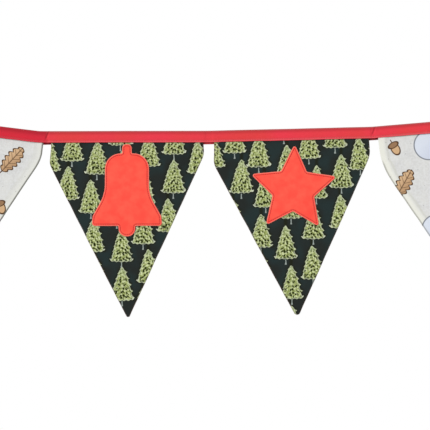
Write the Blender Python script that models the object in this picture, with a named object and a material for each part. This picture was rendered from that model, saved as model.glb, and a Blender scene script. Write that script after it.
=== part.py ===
"""A hanging length of fabric bunting: four cotton pennants sewn into a folded red tape, with a
red bell and a red star stitched to the two pennants in the middle.

Metres, +Z up. X runs along the tape, the right side of the cloth faces -Y, and the origin is on
the tape's top edge, halfway between the two middle pennants."""

import math
from collections import namedtuple

import bmesh
import bpy
from mathutils import Matrix, Vector
from mathutils.geometry import delaunay_2d_cdt

MM = 0.001

# The tape: a strip folded lengthwise over the pennants' top edges, its back leaf the deeper one
TAPE_DEPTH = 13.2 * MM  # of the front leaf
BACK_DEPTH = 15.4 * MM
LEAF_THICKNESS = 1.0 * MM
PINCHED_SLOT = 0.4 * MM  # between the two leaves where no pennant lies between them
PINCH_LENGTH = 3.0 * MM
TAPE_STEP = 9.0 * MM
BEND_STEPS, FOLD_STEPS = 4, 6
SHARP_ANGLE = math.radians(40)

# The cloth: each pennant is two layers sewn together and turned
CLOTH_THICKNESS = 1.2 * MM
PATCH_THICKNESS = 1.0 * MM
CLEARANCE = 0.3 * MM
TUCK = 9.0 * MM  # how far a pennant's top edge reaches up into the tape
HANG_EASE = 70.0 * MM  # depth below the tape over which the cloth takes up its bow
ROW_STEP = 12.0 * MM
TIP_ROWS = [height * MM for height in (9.0, 5.5, 3.2, 1.7, 0.8, 0.15)]  # above the very end
COLUMNS = 12
PATCH_STEP = 8.0 * MM  # between points on a patch

Cloth = namedtuple("Cloth", "name colour roughness")
TAPE_CLOTH = Cloth("red tape", (0.76, 0.053, 0.065), 0.8)
PATCH_CLOTH = Cloth("red patch cotton", (0.94, 0.105, 0.065), 0.85)
PRINT_CLOTH = Cloth("dark printed cotton", (0.022, 0.03, 0.028), 0.9)
WHITE_CLOTH = Cloth("off-white cotton", (0.74, 0.74, 0.71), 0.9)

# Straight stretches of the tape from left to right. bend is the length of the soft bend that
# leads into the next stretch.
Stretch = namedtuple("Stretch", "name length slope_deg bend")
STRETCHES = (
    Stretch("tail_left", 112 * MM, -10.5, 8.0 * MM),
    Stretch("pennant_white_left", 166.9 * MM, -7.0, 5.8 * MM),
    Stretch("between_left", 9.1 * MM, 0.15, 0.0),
    Stretch("pennant_print_left", 175 * MM, 0.15, 11.6 * MM),
    Stretch("pennant_print_right", 176.8 * MM, 1.4, 7.8 * MM),
    Stretch("pennant_white_right", 183.2 * MM, 4.9, 8.0 * MM),
    Stretch("tail_right", 112 * MM, 8.0, 0.0),
)
MIDDLE_BEND = 3  # the origin is halfway along the bend after this stretch
LENGTHS = {stretch.name: stretch.length for stretch in STRETCHES}
LENGTHS["pennant_white_left"] = 176 * MM  # its slot reaches past the next bend

# Pennant outlines: side is measured from the middle of its stretch of tape, positive to the
# right, and depth down from the front leaf's lower edge. Each side runs from top, at the front
# leaf's lower edge, to a corner softened by ease, and slants from there to the tip. Both corners
# and the tip are where the straight edges would meet. bow, swing and roll are how far the hanging
# cloth comes forward at its middle, at its tip, and at its right edge.
Pennant = namedtuple("Pennant", "cloth left right tip tip_radius bow swing roll")
Shoulder = namedtuple("Shoulder", "top side depth ease")
Point = namedtuple("Point", "side depth")
PENNANTS = {
    "pennant_white_left": Pennant(
        WHITE_CLOTH,
        left=Shoulder(-88.0 * MM, -87.2 * MM, 21.0 * MM, 3.0 * MM),
        right=Shoulder(87.8 * MM, 87.6 * MM, 19.6 * MM, 4.8 * MM),
        tip=Point(0.4 * MM, 192.8 * MM),
        tip_radius=2.4 * MM,
        bow=3.0 * MM,
        swing=-5.0 * MM,
        roll=1.6 * MM,
    ),
    "pennant_print_left": Pennant(
        PRINT_CLOTH,
        left=Shoulder(-86.1 * MM, -88.5 * MM, 24.5 * MM, 3.0 * MM),
        right=Shoulder(87.2 * MM, 87.9 * MM, 14.4 * MM, 3.0 * MM),
        tip=Point(1.1 * MM, 201.6 * MM),
        tip_radius=2.4 * MM,
        bow=3.6 * MM,
        swing=2.0 * MM,
        roll=-1.2 * MM,
    ),
    "pennant_print_right": Pennant(
        PRINT_CLOTH,
        left=Shoulder(-88.4 * MM, -89.6 * MM, 25.2 * MM, 3.0 * MM),
        right=Shoulder(88.4 * MM, 88.8 * MM, 19.8 * MM, 3.0 * MM),
        tip=Point(1.4 * MM, 203.9 * MM),
        tip_radius=3.8 * MM,
        bow=2.6 * MM,
        swing=-3.5 * MM,
        roll=1.0 * MM,
    ),
    "pennant_white_right": Pennant(
        WHITE_CLOTH,
        left=Shoulder(-90.0 * MM, -90.0 * MM, 31.2 * MM, 12.0 * MM),
        right=Shoulder(90.0 * MM, 88.0 * MM, 28.0 * MM, 3.0 * MM),
        tip=Point(-1.5 * MM, 189.0 * MM),
        tip_radius=2.4 * MM,
        bow=3.2 * MM,
        swing=4.0 * MM,
        roll=-2.0 * MM,
    ),
}

# Patch outlines, as corners with the radius that rounds each. side and depth are as above.
Corner = namedtuple("Corner", "side depth radius")
HALF_BELL = (  # its right half, from the top down
    Corner(5.5 * MM, 2 * MM, 4.5 * MM),
    Corner(5.5 * MM, 12.5 * MM, 1.2 * MM),
    Corner(25 * MM, 12.5 * MM, 17.5 * MM),
    Corner(25 * MM, 59 * MM, 45 * MM),
    Corner(39 * MM, 84 * MM, 4 * MM),
    Corner(40 * MM, 95 * MM, 3.5 * MM),
    Corner(9.5 * MM, 95 * MM, 1.2 * MM),
    Corner(9.5 * MM, 107 * MM, 9 * MM),
)
STAR_POINTS = 5
STAR_CENTRE = Point(0.5 * MM, 56.0 * MM)
STAR_OUTER, STAR_INNER = 52.0 * MM, 25.0 * MM
STAR_TURN = math.radians(3.0)
STAR_TIP_RADIUS, STAR_NOTCH_RADIUS = 2.2 * MM, 3.0 * MM
ARC_STEP = math.radians(20)


def material_of(cloth):
    made = bpy.data.materials.new(cloth.name)
    made.use_nodes = True
    surface = made.node_tree.nodes["Principled BSDF"]
    surface.inputs["Base Color"].default_value = (*cloth.colour, 1)
    surface.inputs["Roughness"].default_value = cloth.roughness
    surface.inputs["Metallic"].default_value = 0
    return made


def add_object(name, bm, cloth):
    """A new object from a finished bmesh, which is freed."""
    mesh = bpy.data.meshes.new(name)
    bm.to_mesh(mesh)
    bm.free()
    mesh.shade_smooth()
    mesh.set_sharp_from_angle(angle=SHARP_ANGLE)
    mesh.materials.append(material_of(cloth))
    obj = bpy.data.objects.new(name, mesh)
    bpy.context.scene.collection.objects.link(obj)
    return obj


def add_sheet(name, bm, cloth, place, thickness):
    """A sheet in its place, thickened by half to each side."""
    obj = add_object(name, bm, cloth)
    obj.matrix_world = place
    solidify = obj.modifiers.new("cloth thickness", "SOLIDIFY")
    solidify.thickness = thickness
    solidify.offset = 0


# The tape's line


class TapeLine:
    """The tape's top edge: straight stretches joined by soft bends, from the left end."""

    SUM_STEPS = 24  # for adding up the length of a bend

    def __init__(self, stretches, middle_bend):
        self.parts = []  # (start length, length, start slope, end slope)
        self.starts = {}
        length = 0
        for i, stretch in enumerate(stretches):
            slope = math.radians(stretch.slope_deg)
            self.starts[stretch.name] = length
            self.parts.append((length, stretch.length, slope, slope))
            length += stretch.length
            if stretch.bend:
                after = math.radians(stretches[i + 1].slope_deg)
                self.parts.append((length, stretch.bend, slope, after))
                if i == middle_bend:
                    middle = length + stretch.bend / 2
                length += stretch.bend
        self.length = length
        self.origin = Vector((0, 0, 0))
        self.origin = self.at(middle)[0]

    def at(self, along):
        """The point at this length along the tape, and the slope there."""
        point = -self.origin
        for start, length, slope, after in self.parts:
            done = min(max(along - start, 0), length)
            steps = 1 if slope == after else self.SUM_STEPS
            for i in range(steps):
                here = slope + (after - slope) * (i + 0.5) / steps * done / length
                point += Vector((math.cos(here), 0, math.sin(here))) * done / steps
            if along <= start + length:
                return point, slope + (after - slope) * done / length
        return point, after

    def stations(self):
        """The lengths at which the tape's section is set: evenly, and at each change."""
        marks = {0.0, self.length}
        for start, length, slope, after in self.parts:
            marks |= {start, start + length}
            if slope != after:
                marks |= {start + length * i / BEND_STEPS for i in range(BEND_STEPS)}
        for name in PENNANTS:
            for end, way in zip(self.ends(name), (-1, 1)):
                marks |= {end + way * CLEARANCE, end + way * PINCH_LENGTH}
        marks = sorted(marks)
        found = []
        for low, high in zip(marks, marks[1:]):
            count = max(1, round((high - low) / TAPE_STEP))
            found += [low + (high - low) * i / count for i in range(count)]
        return found + [self.length]

    def ends(self, name):
        return self.starts[name], self.starts[name] + LENGTHS[name]

    def frame(self, name):
        """Places a sheet drawn as (side, -Y forward, -depth) in the middle of its stretch."""
        point, slope = self.at(sum(self.ends(name)) / 2)
        return Matrix.Translation(point) @ Matrix.Rotation(-slope, 4, "Y")


def half_slot(line, along):
    """Half the space between the leaves: open round a pennant, pinched shut beyond it."""
    widest, shut = CLOTH_THICKNESS / 2 + CLEARANCE, PINCHED_SLOT / 2
    outside = min(
        max(start - along, along - end, 0) for start, end in map(line.ends, PENNANTS)
    )
    shutting = min(max((outside - CLEARANCE) / (PINCH_LENGTH - CLEARANCE), 0), 1)
    return widest + (shut - widest) * shutting


def tape_section(slot):
    """The folded tape cut across, as (depth, forward) going round from the front lower edge."""
    out = slot + LEAF_THICKNESS
    fold = [
        (out * (1 - math.sin(a)), out * math.cos(a))
        for a in (math.pi * i / FOLD_STEPS for i in range(FOLD_STEPS + 1))
    ]
    inside = [(out, -slot), (LEAF_THICKNESS, 0), (out, slot)]
    return [
        (TAPE_DEPTH, out),
        *fold,
        (BACK_DEPTH, -out),
        (BACK_DEPTH, -slot),
        *inside,
        (TAPE_DEPTH, slot),
    ]


def make_tape(line):
    bm = bmesh.new()
    loops = []
    for along in line.stations():
        point, slope = line.at(along)
        down = Vector((math.sin(slope), 0, -math.cos(slope)))
        forward = Vector((0, -1, 0))
        section = tape_section(half_slot(line, along))
        loops.append([bm.verts.new(point + down * d + forward * f) for d, f in section])
    for one, other in zip(loops, loops[1:]):
        for i in range(len(one)):
            bm.faces.new((one[i - 1], one[i], other[i], other[i - 1]))
    bm.faces.new(loops[0][::-1])
    bm.faces.new(loops[-1])
    bmesh.ops.recalc_face_normals(bm, faces=bm.faces)
    add_object("tape", bm, TAPE_CLOTH)


# The pennants


def soft_min(a, b, ease):
    near = max(ease - abs(a - b), 0) / ease
    return min(a, b) - near * near * ease / 4


def edge_out(pennant, way, depth):
    """How far a pennant's left (way -1) or right (way 1) edge lies out from its middle line."""
    corner, tip = (pennant.left if way < 0 else pennant.right), pennant.tip
    top_out, corner_out, tip_out = way * corner.top, way * corner.side, way * tip.side
    side = top_out + (corner_out - top_out) * depth / corner.depth
    to_tip = (tip.depth - depth) / (tip.depth - corner.depth)
    return soft_min(side, tip_out + (corner_out - tip_out) * to_tip, corner.ease)


def tip_centre_depth(pennant):
    """Where the circle that rounds the tip has its centre."""
    spread = (pennant.right.side - pennant.left.side) / 2
    run = pennant.tip.depth - (pennant.left.depth + pennant.right.depth) / 2
    return pennant.tip.depth - pennant.tip_radius / math.sin(math.atan2(spread, run))


def edges_at(pennant, depth):
    """The left and right edge at this depth."""
    left = -edge_out(pennant, -1, depth)
    right = edge_out(pennant, 1, depth)
    below = depth - tip_centre_depth(pennant)
    if below > 0:
        reach = math.sqrt(max(pennant.tip_radius**2 - below**2, 0))
        left = max(left, pennant.tip.side - reach)
        right = min(right, pennant.tip.side + reach)
    return left, right


def forward_at(pennant, width, side, depth):
    """How far the hanging cloth stands forward of the tape's plane."""
    hang = min(max(depth / HANG_EASE, 0), 1)
    hang = hang * hang * (3 - 2 * hang)
    across = side / (width / 2)
    bow = pennant.bow * (1 - across * across)
    swing = pennant.swing * (max(depth, 0) / pennant.tip.depth) ** 2
    return hang * (bow + pennant.roll * across) + swing


def row_depths(pennant):
    """The depths of a pennant's rows, closer together towards its tip."""
    bottom = tip_centre_depth(pennant) + pennant.tip_radius
    near_tip = [bottom - height for height in TIP_ROWS]
    above = near_tip[0] - ROW_STEP / 2
    count = round(above / ROW_STEP)
    return [-TUCK, -TUCK / 2] + [above * i / count for i in range(count + 1)] + near_tip


def make_pennant(name, line):
    pennant, width = PENNANTS[name], LENGTHS[name]
    bm = bmesh.new()
    rows = []
    for depth in row_depths(pennant):
        left, right = edges_at(pennant, max(depth, 0))
        row = []
        for i in range(COLUMNS + 1):
            side = left + (right - left) * i / COLUMNS
            forward = forward_at(pennant, width, side, depth)
            row.append(bm.verts.new((side, -forward, -TAPE_DEPTH - depth)))
        rows.append(row)
    for upper, lower in zip(rows, rows[1:]):
        for i in range(COLUMNS):
            bm.faces.new((upper[i], lower[i], lower[i + 1], upper[i + 1]))
    add_sheet(name, bm, pennant.cloth, line.frame(name), CLOTH_THICKNESS)


# The patches


def rounded(corners):
    """An outline through these corners, each one rounded by an arc of its own radius."""
    points = []
    for i, corner in enumerate(corners):
        here = Vector((corner.side, corner.depth))
        before, after = corners[i - 1], corners[(i + 1) % len(corners)]
        back = (Vector((before.side, before.depth)) - here).normalized()
        on = (Vector((after.side, after.depth)) - here).normalized()
        half = back.angle(on) / 2
        centre = here + (back + on).normalized() * corner.radius / math.sin(half)
        start = here + back * corner.radius / math.tan(half) - centre
        turn = start.angle_signed(here + on * corner.radius / math.tan(half) - centre)
        steps = max(2, math.ceil(abs(turn) / ARC_STEP))
        for k in range(steps + 1):
            angle = -turn * k / steps
            points.append(centre + Matrix.Rotation(angle, 2) @ start)
    return points


def bell_corners():
    other_half = [Corner(-c.side, c.depth, c.radius) for c in reversed(HALF_BELL)]
    return [*HALF_BELL, *other_half]


def star_corners():
    corners = []
    for i in range(2 * STAR_POINTS):
        outer = i % 2 == 0
        reach = STAR_OUTER if outer else STAR_INNER
        angle = STAR_TURN + math.pi * i / STAR_POINTS
        corners.append(
            Corner(
                STAR_CENTRE.side + reach * math.sin(angle),
                STAR_CENTRE.depth - reach * math.cos(angle),
                STAR_TIP_RADIUS if outer else STAR_NOTCH_RADIUS,
            )
        )
    return corners


def filled(outline):
    """An outline filled with even triangles: (points, triangles)."""
    edge = []
    for here, on in zip(outline, outline[1:] + outline[:1]):
        count = math.ceil((on - here).length / PATCH_STEP)
        edge += [here.lerp(on, i / count) for i in range(count)]
    reach = math.ceil(max(point.length for point in edge) / PATCH_STEP)
    inner = []
    for row in range(-reach, reach + 1):
        for column in range(-reach, reach + 1):
            point = Vector((column + row % 2 / 2, row)) * PATCH_STEP
            if min((point - other).length for other in edge) > 0.6 * PATCH_STEP:
                inner.append(point)
    outside = [list(range(len(edge)))]
    points, _, triangles, *_ = delaunay_2d_cdt(edge + inner, [], outside, 1, 1e-7)
    return points, triangles


def make_patch(name, corners, carrier, line):
    """A flat patch cut to an outline, lying on the front of the pennant that carries it."""
    pennant, width = PENNANTS[carrier], LENGTHS[carrier]
    lift = CLOTH_THICKNESS / 2 + CLEARANCE + PATCH_THICKNESS / 2
    points, triangles = filled(rounded(corners))
    bm = bmesh.new()
    verts = {}
    for i in sorted({i for triangle in triangles for i in triangle}):
        side, depth = points[i]
        forward = forward_at(pennant, width, side, depth) + lift
        verts[i] = bm.verts.new((side, -forward, -TAPE_DEPTH - depth))
    for triangle in triangles:
        bm.faces.new([verts[i] for i in triangle])
    bmesh.ops.recalc_face_normals(bm, faces=bm.faces)
    add_sheet(name, bm, PATCH_CLOTH, line.frame(carrier), PATCH_THICKNESS)


for old in list(bpy.data.objects):
    bpy.data.objects.remove(old)

tape_line = TapeLine(STRETCHES, MIDDLE_BEND)
make_tape(tape_line)
for pennant_name in PENNANTS:
    make_pennant(pennant_name, tape_line)
make_patch("patch_bell", bell_corners(), "pennant_print_left", tape_line)
make_patch("patch_star", star_corners(), "pennant_print_right", tape_line)
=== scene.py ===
"""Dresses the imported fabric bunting: four turned cotton pennants sewn into a folded red tape, with
a red bell and a red star stitched to the two in the middle.

Metres, +Z up. X runs along the tape, the right side of the cloth faces -Y, and the origin is on
the tape's top edge, halfway between the two middle pennants."""

import math
from collections import namedtuple
from functools import partialmethod

import bmesh
import bpy
from mathutils import Matrix, Vector, kdtree, noise
from mathutils.geometry import delaunay_2d_cdt


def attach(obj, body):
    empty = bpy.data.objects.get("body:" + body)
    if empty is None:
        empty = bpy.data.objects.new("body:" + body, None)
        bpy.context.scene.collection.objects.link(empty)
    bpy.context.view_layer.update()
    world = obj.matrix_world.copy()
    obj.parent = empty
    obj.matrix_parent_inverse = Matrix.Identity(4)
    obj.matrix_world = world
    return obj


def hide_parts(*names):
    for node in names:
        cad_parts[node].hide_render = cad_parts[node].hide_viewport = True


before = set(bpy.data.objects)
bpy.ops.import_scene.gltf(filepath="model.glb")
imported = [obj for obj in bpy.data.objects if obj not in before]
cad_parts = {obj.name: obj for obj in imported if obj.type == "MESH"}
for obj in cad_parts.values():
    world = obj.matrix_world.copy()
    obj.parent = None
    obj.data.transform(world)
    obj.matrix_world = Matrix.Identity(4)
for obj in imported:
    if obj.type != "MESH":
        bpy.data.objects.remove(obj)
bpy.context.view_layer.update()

# The view and the light. The photograph looks straight at the cloth against plain white, with a
# soft light from the upper left. The floor lies below the bunting, under the photograph's frame.

MM = 0.001


def mm(*sizes):
    return [size * MM for size in sizes]


VIEW_WIDTH = 490.2 * MM  # of cloth across the photograph, 1.14 mm to a pixel
VIEW_CENTRE = Vector(mm(7.1, 0, -96.1))
LENS_MM, SENSOR_MM = 100, 36
KEY_FROM = Vector((-0.62, -1.0, 0.72))
KEY_STRENGTH, KEY_SPREAD = 2.3, math.radians(14)
FILL_STRENGTH = 0.52
FLOOR_DEPTH, FLOOR_RADIUS = 0.62, 1.25


def put_in_scene(name, data):
    obj = bpy.data.objects.new(name, data)
    bpy.context.scene.collection.objects.link(obj)
    return obj


def piece_object(name, bm, material):
    """A finished piece: a smooth mesh at the origin with one material."""
    mesh = bpy.data.meshes.new(name)
    bm.to_mesh(mesh)
    bm.free()
    mesh.shade_smooth()
    mesh.materials.append(material)
    return put_in_scene(name, mesh)


def new_material(name, finish):
    """A material with this finish on its surface: (material, tree)."""
    material = bpy.data.materials.new(name)
    material.use_nodes = True
    surface = material.node_tree.nodes["Principled BSDF"]
    for slot, value in finish.items():
        surface.inputs[slot].default_value = value
    return material, material.node_tree


def feed(tree, slot, value):
    """Gives a socket a plain value, or joins it to a signal, a socket or a node's first output."""
    if isinstance(value, bpy.types.Node):
        value = next(socket for socket in value.outputs if socket.enabled)
    value = getattr(value, "socket", value)
    if isinstance(value, bpy.types.NodeSocket):
        tree.links.new(value, slot)
    else:
        slot.default_value = value


def add_node(tree, kind, inputs=None, **settings):
    """Adds a node with these settings and feeds its inputs, which are named or numbered."""
    node = tree.nodes.new(kind)
    for name, value in settings.items():
        setattr(node, name, value)
    for slot, value in (inputs or {}).items():
        feed(tree, node.inputs[slot], value)
    return node


camera_data = bpy.data.cameras.new("camera")
camera_data.lens = LENS_MM
camera_data.sensor_width = SENSOR_MM
camera = put_in_scene("camera", camera_data)
camera.location = VIEW_CENTRE - Vector((0, VIEW_WIDTH * LENS_MM / SENSOR_MM, 0))
camera.rotation_euler = (math.radians(90), 0, 0)
bpy.context.scene.camera = camera
bpy.context.scene.view_settings.view_transform = "Standard"

key_data = bpy.data.lights.new("soft key", "SUN")
key_data.energy = KEY_STRENGTH
key_data.angle = KEY_SPREAD
key_data.color = (1.0, 0.985, 0.965)
put_in_scene("soft key", key_data).rotation_euler = KEY_FROM.to_track_quat("Z", "Y").to_euler()

world = bpy.data.worlds.new("white studio")
world.use_nodes = True
studio = world.node_tree
backdrop = studio.nodes["Background"]
backdrop.inputs["Color"].default_value = (1, 1, 1, 1)
backdrop.inputs["Strength"].default_value = 1.0
fill = {"Color": (0.96, 0.98, 1.0, 1), "Strength": FILL_STRENGTH}
fill = add_node(studio, "ShaderNodeBackground", fill)
seen = add_node(studio, "ShaderNodeLightPath").outputs["Is Camera Ray"]
seen_or_lit = add_node(studio, "ShaderNodeMixShader", {"Fac": seen, 1: fill, 2: backdrop})
feed(studio, studio.nodes["World Output"].inputs["Surface"], seen_or_lit)
bpy.context.scene.world = world

floor_finish = {"Base Color": (0.86, 0.86, 0.85, 1), "Roughness": 0.9}
floor_paint, _ = new_material("pale floor", floor_finish)
floor_bm = bmesh.new()
bmesh.ops.create_circle(floor_bm, cap_ends=True, segments=96, radius=FLOOR_RADIUS)
bmesh.ops.translate(floor_bm, verts=floor_bm.verts, vec=(0, 0, -FLOOR_DEPTH))
piece_object("floor", floor_bm, floor_paint)


# The tape: a strip of red bias-cut cotton, its raw edges turned in, folded lengthwise over the
# pennants' top edges and sewn through near its lower edge. Its tails end folded in.

TAPE_DEPTH = 13.2 * MM  # of the front leaf
BACK_DEPTH = 15.4 * MM  # of the back leaf, which shows below the front one
LEAF_THICKNESS = 0.95 * MM
OPEN_SLOT, PINCHED_SLOT = mm(0.9, 0.25)  # half the space between the leaves
PINCH_START, PINCH_END = mm(0.3, 3.0)  # beyond a pennant's end
SEAM_UP = 1.9 * MM  # of the line of stitches, above the front leaf's lower edge
SEAM_GROOVE, SEAM_PUCKER = mm(0.3, 0.12)  # pressed into the leaf by the stitches
LEAF_PUFF = 0.28 * MM  # of a leaf between its fold and its edge
TAPE_STEP = 1.1 * MM
LINE_STEP = 0.5 * MM
END_ROUND = 0.6 * MM

# Each stretch's slope is in degrees, and its bend leads into the next one
Stretch = namedtuple("Stretch", "name length slope bend")
STRETCHES = (
    Stretch("tail_left", 112 * MM, -10.5, 8.0 * MM),
    Stretch("pennant_white_left", 166.9 * MM, -7.0, 5.8 * MM),
    Stretch("between_left", 9.1 * MM, 0.15, 0.0),
    Stretch("pennant_print_left", 175 * MM, 0.15, 11.6 * MM),
    Stretch("pennant_print_right", 176.8 * MM, 1.4, 7.8 * MM),
    Stretch("pennant_white_right", 183.2 * MM, 4.9, 8.0 * MM),
    Stretch("tail_right", 112 * MM, 8.0, 0.0),
)
STARTS = {
    stretch.name: sum(s.length + s.bend for s in STRETCHES[:i])
    for i, stretch in enumerate(STRETCHES)
}
LENGTHS = {stretch.name: stretch.length for stretch in STRETCHES}
LENGTHS["pennant_white_left"] = 176 * MM  # its slot reaches past the next bend
TAPE_LENGTH = sum(stretch.length + stretch.bend for stretch in STRETCHES)
MIDDLE = STARTS["pennant_print_right"] - STRETCHES[3].bend / 2

Crease = namedtuple("Crease", "at lean depth fade")  # pressed across the tape, gone below fade
CREASES = (
    Crease(STARTS["pennant_print_left"] - 4.0 * MM, -0.42, 0.5 * MM, 10.0 * MM),
    Crease(STARTS["pennant_white_right"] - 3.6 * MM, -0.42, 0.4 * MM, 9.5 * MM),
)


def slope_at(along):
    """The tape's slope at this length from its left end, changing evenly over each bend."""
    for stretch, following in zip(STRETCHES, STRETCHES[1:]):
        if along <= stretch.length:
            return math.radians(stretch.slope)
        along -= stretch.length
        if along <= stretch.bend:
            turn = (following.slope - stretch.slope) * along / stretch.bend
            return math.radians(stretch.slope + turn)
        along -= stretch.bend
    return math.radians(STRETCHES[-1].slope)


def tape_line():
    """Points on the tape's top edge, LINE_STEP apart, with the origin at the middle."""
    points = [Vector((0, 0, 0))]
    for i in range(math.ceil(TAPE_LENGTH / LINE_STEP)):
        slope = slope_at((i + 0.5) * LINE_STEP)
        points.append(points[-1] + Vector((math.cos(slope), 0, math.sin(slope))) * LINE_STEP)
    middle = points[round(MIDDLE / LINE_STEP)]
    return [point - middle for point in points]


LINE = tape_line()


def on_line(along):
    place = along / LINE_STEP
    i = min(int(place), len(LINE) - 2)
    return LINE[i].lerp(LINE[i + 1], place - i)


def ripple(size, seed, *place):
    """A smooth random number from -1 to 1 that changes over this size."""
    return noise.noise(Vector((*place, 0, 0)[:3]) / size + Vector((7.3, 1.7, 3.1)) * seed)


def smooth(low, high, value):
    part = min(max((value - low) / (high - low), 0), 1)
    return part * part * (3 - 2 * part)


def close_to(off, reach):
    """1 on a line, falling away to 0 on both sides of it over this reach."""
    return math.exp(-((off / reach) ** 2))


def half_slot(along):
    """Half the space between the leaves, pinched shut where no pennant lies in it."""
    beyond = min(
        max(STARTS[name] - along, along - STARTS[name] - LENGTHS[name], 0)
        for name in STARTS
        if name.startswith("pennant")
    )
    shut = smooth(PINCH_START, PINCH_END, beyond)
    return OPEN_SLOT + (PINCHED_SLOT - OPEN_SLOT) * shut


def tape_section():
    """The folded tape cut across: (depth as a share, face, share of the leaf's thickness).

    face is 1 in front and -1 at the back, and the share runs from 0 inside to 1 outside."""
    edge = [(math.sin(a), 0.5 - 0.5 * math.cos(a)) for a in (math.pi * i / 6 for i in range(7))]
    outside = [0.955, 0.9, 0.85, 0.8, 0.72, 0.6, 0.48, 0.36, 0.25, 0.17]
    front = [(0.4, 1, 0.0), (0.8, 1, 0.0)]
    front += [(0.965 + 0.035 * out, 1, up) for out, up in edge]
    front += [(depth, 1, 1.0) for depth in outside]
    fold = [(0.13 * (1 - math.sin(a)), math.cos(a), 1.0) for a in (math.pi * i / 8 for i in range(9))]
    back = [(depth, -1, up) for depth, _, up in reversed(front)]
    return [*front, *fold, *back, (0.1, 0, 0.0)]


def leaf_depth_at(along, face):
    """How deep the front (face 1) or back (face -1) leaf is, which wavers a little."""
    leaf_depth = BACK_DEPTH + (TAPE_DEPTH - BACK_DEPTH) * smooth(-1, 1, face)
    return leaf_depth + 0.2 * MM * ripple(14 * MM, face + 2, along)


def tape_surface(along, share, face, up):
    """The point of the tape at this length and place in its section."""
    leaf_depth = leaf_depth_at(along, face)
    depth = share * leaf_depth + 0.12 * MM * ripple(30 * MM, 5, along)
    slot = half_slot(along)
    forward = slot + LEAF_THICKNESS * up
    if up == 1.0:
        seam = TAPE_DEPTH - SEAM_UP - depth
        forward += LEAF_PUFF * math.sin(math.pi * min(share, 1)) ** 0.7
        forward += 0.14 * MM * ripple(9 * MM, face + 9, along, depth)
        forward -= SEAM_GROOVE * close_to(seam, 0.6 * MM)
        forward += SEAM_PUCKER * (ripple(2.6 * MM, face + 20, along) * close_to(seam, 1.8 * MM))
        for crease in CREASES:
            off = along - crease.at - crease.lean * (depth - TAPE_DEPTH / 2)
            left = crease.depth * (1 - smooth(0.6 * crease.fade, 1.1 * crease.fade, depth))
            forward -= left * close_to(off, 0.8 * MM)
            forward += 0.6 * left * close_to(off - 2.0 * MM, 1.3 * MM)
    to_end = max(min(along, TAPE_LENGTH - along), 0)
    if to_end < END_ROUND:
        middle = slot + LEAF_THICKNESS / 2
        roundness = math.sqrt(1 - (1 - to_end / END_ROUND) ** 2)
        forward = middle + (forward - middle) * (0.15 + 0.85 * roundness)
    sway = 0.5 * MM * ripple(60 * MM, 31, along)
    slope = slope_at(along)
    down = Vector((math.sin(slope), 0, -math.cos(slope)))
    return on_line(along) + down * depth + Vector((0, -1, 0)) * (forward * face + sway)


def tape_stations():
    """Lengths along the tape at which its section is set, closer together at the creases."""
    stations = [i * TAPE_STEP for i in range(math.floor(TAPE_LENGTH / TAPE_STEP) + 1)]
    for crease in CREASES:
        stations += [crease.at + (i - 14) * 0.4 * MM for i in range(29)]
    for share in (0.0, 0.15, 0.4, 0.75):
        stations += [share * END_ROUND, TAPE_LENGTH - share * END_ROUND]
    return sorted({round(along, 5) for along in stations})


class Signal:
    """A socket in a shader tree that takes part in sums, so that a pattern reads as a formula."""

    def __init__(self, tree, socket):
        self.tree = tree
        self.socket = socket

    def math(self, operation, *others):
        inputs = dict(enumerate((self, *others)))
        return new_signal(self.tree, "ShaderNodeMath", 0, inputs, operation=operation)

    __add__ = __radd__ = partialmethod(math, "ADD")
    __sub__ = partialmethod(math, "SUBTRACT")
    __mul__ = __rmul__ = partialmethod(math, "MULTIPLY")
    __truediv__ = partialmethod(math, "DIVIDE")
    __pow__ = partialmethod(math, "POWER")
    __neg__ = partialmethod(math, "MULTIPLY", -1)
    __abs__ = partialmethod(math, "ABSOLUTE")

    def __rsub__(self, other):
        return -self + other

    def ramp(self, low, high):
        """0 below low and 1 above high, smooth between them; low may be the larger."""
        span = {"From Min": min(low, high), "From Max": max(low, high)}
        span |= {"To Min": float(low > high), "To Max": float(low < high), "Value": self}
        return new_signal(
            self.tree, "ShaderNodeMapRange", "Result", span, interpolation_type="SMOOTHSTEP"
        )


def new_signal(tree, kind, output, inputs=None, **settings):
    return Signal(tree, add_node(tree, kind, inputs, **settings).outputs[output])


def place_on(x, y):
    """A vector signal from two signals, one of which may be a number."""
    tree = (x if isinstance(x, Signal) else y).tree
    return new_signal(tree, "ShaderNodeCombineXYZ", "Vector", {"X": x, "Y": y})


def mottle(place, scale, detail=2.0):
    """Soft random spots, from 0 to 1."""
    inputs = {"Vector": place, "Scale": scale, "Detail": detail}
    return new_signal(place.tree, "ShaderNodeTexNoise", "Fac", inputs)


def linear(colour):
    """A linear colour from one given in sRGB, 0 to 255. A signal stays as it is."""
    if isinstance(colour, Signal):
        return colour
    shares = (value / 255 for value in colour)
    return (*(((s + 0.055) / 1.055) ** 2.4 if s > 0.04 else s / 12.92 for s in shares), 1)


def blend(share, one, other):
    """From one colour to the other as share goes from 0 to 1."""
    inputs = {0: share, 6: linear(one), 7: linear(other)}
    return new_signal(share.tree, "ShaderNodeMix", 2, inputs, data_type="RGBA")


def coated(colour, *coats):
    """A colour under coats of (share, colour), each laid over the one before."""
    for share, coat in coats:
        colour = blend(share, colour, coat)
    return colour


def new_cotton(name, roughness, sheen, gloss):
    """A woven cotton and its cloth coordinates in millimetres: (material, across, down)."""
    finish = {"Roughness": roughness, "Sheen Weight": sheen, "Sheen Roughness": 0.45}
    material, tree = new_material(name, finish | {"Specular IOR Level": gloss})
    cloth = add_node(tree, "ShaderNodeUVMap", uv_map="cloth")
    parts = add_node(tree, "ShaderNodeSeparateXYZ", {"Vector": cloth})
    return material, *(Signal(tree, parts.outputs[axis]) * 1000.0 for axis in "XY")


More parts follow.
